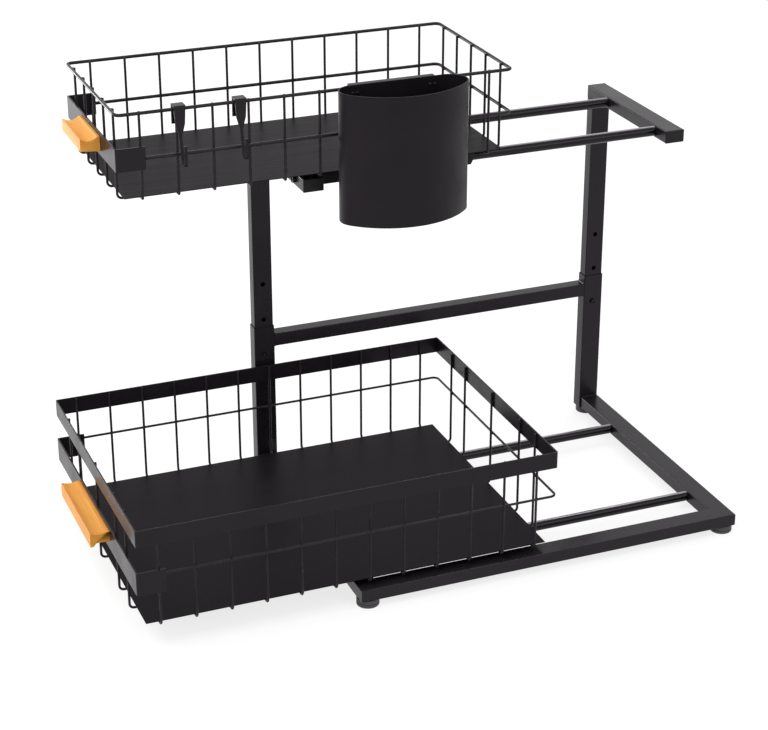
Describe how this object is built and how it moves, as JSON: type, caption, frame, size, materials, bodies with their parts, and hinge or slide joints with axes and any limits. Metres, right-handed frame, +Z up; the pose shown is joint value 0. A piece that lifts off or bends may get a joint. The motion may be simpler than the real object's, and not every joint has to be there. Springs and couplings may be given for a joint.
{
  "type": "pull out cabinet basket",
  "caption": "Two-tier cabinet organiser: open-sided tube frame, wire drawers that slide out on round rods, wood grips, a hanging cup and rim hooks.",
  "frame": {"origin": "centre of the whole object's footprint with both drawers pulled out, on the plane the feet stand on", "axes": "+X from the posts towards the open side, +Y from the wood grips towards the back, +Z up; the drawers pull out along -Y"},
  "size_m": [0.3188, 0.6326, 0.4669],
  "materials": {
    "frame_paint": "satin black paint",
    "strip_paint": "semi-gloss black paint",
    "wire_coat": "semi-gloss black coating",
    "rod_finish": "gloss black",
    "cup_paint": "satin black paint",
    "screw_steel": "blackened steel",
    "tray_plastic": "matte black sheet",
    "black_plastic": "matte black moulded",
    "foot_rubber": "matte",
    "handle_wood": "light clear-coated"
  },
  "bodies": {
    "base_frame": {"base_front_bar": "frame_paint", "base_side_bar": "frame_paint", "base_back_bar": "frame_paint", "front_sleeve": "frame_paint", "back_sleeve": "frame_paint", "crossbar": "frame_paint", "lower_slide_rods": "rod_finish", "lower_rod_screws": "screw_steel", "feet": "foot_rubber", "sleeve_plugs": "black_plastic", "height_lock_screws": "screw_steel"},
    "upper_frame": {"front_post": "frame_paint", "back_post": "frame_paint", "front_arm": "frame_paint", "back_arm": "frame_paint", "arm_end_plugs": "black_plastic", "upper_slide_rods": "rod_finish", "upper_rod_screws": "screw_steel"},
    "lower_drawer": {"lower_rim_band": "strip_paint", "lower_mid_wire": "wire_coat", "lower_cross_wires": "wire_coat", "lower_long_wires": "wire_coat", "lower_plate": "tray_plastic", "lower_front_strap": "strip_paint", "lower_handle": "handle_wood", "lower_handle_screws": "screw_steel", "lower_slider_clips": "black_plastic"},
    "upper_drawer": {"upper_rim_wire": "wire_coat", "upper_mid_wire": "wire_coat", "upper_cross_wires": "wire_coat", "upper_long_wires": "wire_coat", "upper_plate": "tray_plastic", "upper_front_strap": "strip_paint", "upper_handle": "handle_wood", "upper_handle_screws": "screw_steel", "upper_slider_clips": "black_plastic"},
    "hanging_cup": {"cup_shell": "cup_paint", "cup_hanger": "cup_paint", "cup_rivets": "screw_steel"},
    "front_rim_hook": {"front_hook": "strip_paint"},
    "back_rim_hook": {"back_hook": "strip_paint"}
  },
  "joints": [
    {"name": "upper_frame_height", "type": "slide", "parent": "base_frame", "child": "upper_frame", "axis": [0, 0, 1], "range_m": [-0.078, 0.039]},
    {"name": "lower_drawer_slide", "type": "slide", "parent": "base_frame", "child": "lower_drawer", "axis": [0, 1, 0], "range_m": [0, 0.2]},
    {"name": "upper_drawer_slide", "type": "slide", "parent": "upper_frame", "child": "upper_drawer", "axis": [0, 1, 0], "range_m": [0, 0.196]},
    {"name": "cup_along_rim", "type": "slide", "parent": "upper_drawer", "child": "hanging_cup", "axis": [0, 1, 0], "range_m": [-0.05, 0.03]},
    {"name": "front_hook_along_rim", "type": "slide", "parent": "upper_drawer", "child": "front_rim_hook", "axis": [0, 1, 0], "range_m": [-0.02, 0.02]},
    {"name": "back_hook_along_rim", "type": "slide", "parent": "upper_drawer", "child": "back_rim_hook", "axis": [0, 1, 0], "range_m": [-0.02, 0.02]}
  ]
}
